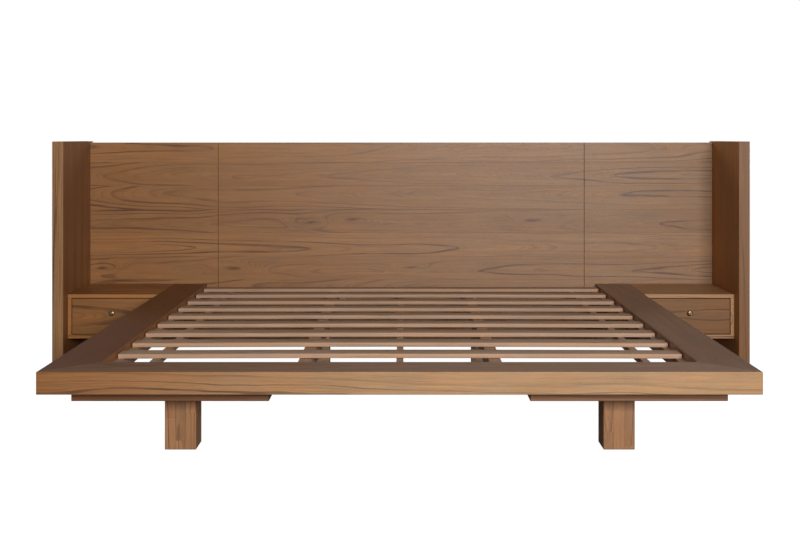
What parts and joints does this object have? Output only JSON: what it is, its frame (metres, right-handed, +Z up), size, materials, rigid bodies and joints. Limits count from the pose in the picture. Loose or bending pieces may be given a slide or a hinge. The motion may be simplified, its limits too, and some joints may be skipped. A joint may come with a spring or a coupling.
{
  "type": "platform bed frame",
  "caption": "Low wooden platform bed with a winged panel headboard reaching the floor, built-in drawer nightstands and a slatted mattress deck.",
  "frame": {"origin": "on the floor, under the middle of the bed's overall width and length", "axes": "+Z up, +X to the right as seen from the foot end, +Y from the foot end towards the headboard"},
  "size_m": [3.221, 2.274, 1.028],
  "materials": {
    "platform_oak": "satin stained, flat-sawn grain",
    "headboard_oak": "satin stained, flat-sawn grain",
    "leg_oak": "satin stained",
    "nightstand_oak": "satin stained",
    "slat_pine": "planed, unfinished softwood with knots",
    "frame_pine": "planed softwood",
    "drawer_box_wood": "clear lacquered",
    "knob_brass": "antique, satin",
    "slide_steel": "zinc plated",
    "zinc_steel": "zinc plated",
    "glide_plastic": "matte"
  },
  "bodies": {
    "frame": {"batten_screws": "zinc_steel", "beam_hangers": "zinc_steel", "bracket_screws": "zinc_steel", "corner_brackets": "zinc_steel", "foot_glides": "glide_plastic", "frame_screws": "zinc_steel", "front_rail": "platform_oak", "head_cross_rail": "frame_pine", "headboard_centre_panel": "headboard_oak", "headboard_left_panel": "headboard_oak", "headboard_lower_stiles": "frame_pine", "headboard_rails": "frame_pine", "headboard_right_panel": "headboard_oak", "headboard_upper_stiles": "frame_pine", "joint_bolts": "zinc_steel", "left_drawer_runners": "slide_steel", "left_foot_plank": "leg_oak", "left_leg": "leg_oak", "left_nightstand_back": "nightstand_oak", "left_nightstand_bottom": "nightstand_oak", "left_nightstand_inner_side": "nightstand_oak", "left_nightstand_outer_side": "nightstand_oak", "left_nightstand_top": "nightstand_oak", "left_side_rail": "platform_oak", "left_slat_ledge": "slat_pine", "left_support_beam": "frame_pine", "left_support_leg": "frame_pine", "left_wing": "headboard_oak", "leg_bolts": "zinc_steel", "nightstand_bolts": "zinc_steel", "rail_bolts": "zinc_steel", "right_drawer_runners": "slide_steel", "right_foot_plank": "leg_oak", "right_leg": "leg_oak", "right_nightstand_back": "nightstand_oak", "right_nightstand_bottom": "nightstand_oak", "right_nightstand_inner_side": "nightstand_oak", "right_nightstand_outer_side": "nightstand_oak", "right_nightstand_top": "nightstand_oak", "right_side_rail": "platform_oak", "right_slat_ledge": "slat_pine", "right_support_beam": "frame_pine", "right_support_leg": "frame_pine", "right_wing": "headboard_oak", "slat_battens": "slat_pine", "slats": "slat_pine"},
    "left_drawer": {"left_drawer_back": "drawer_box_wood", "left_drawer_bottom": "drawer_box_wood", "left_drawer_front": "nightstand_oak", "left_drawer_inner_side": "drawer_box_wood", "left_drawer_knob": "knob_brass", "left_drawer_outer_side": "drawer_box_wood", "left_drawer_slides": "slide_steel"},
    "right_drawer": {"right_drawer_back": "drawer_box_wood", "right_drawer_bottom": "drawer_box_wood", "right_drawer_front": "nightstand_oak", "right_drawer_inner_side": "drawer_box_wood", "right_drawer_knob": "knob_brass", "right_drawer_outer_side": "drawer_box_wood", "right_drawer_slides": "slide_steel"}
  },
  "joints": [
    {"name": "left_drawer_slide", "type": "slide", "parent": "frame", "child": "left_drawer", "axis": [0, -1, 0], "range_m": [0, 0.26]},
    {"name": "right_drawer_slide", "type": "slide", "parent": "frame", "child": "right_drawer", "axis": [0, -1, 0], "range_m": [0, 0.26]}
  ]
}
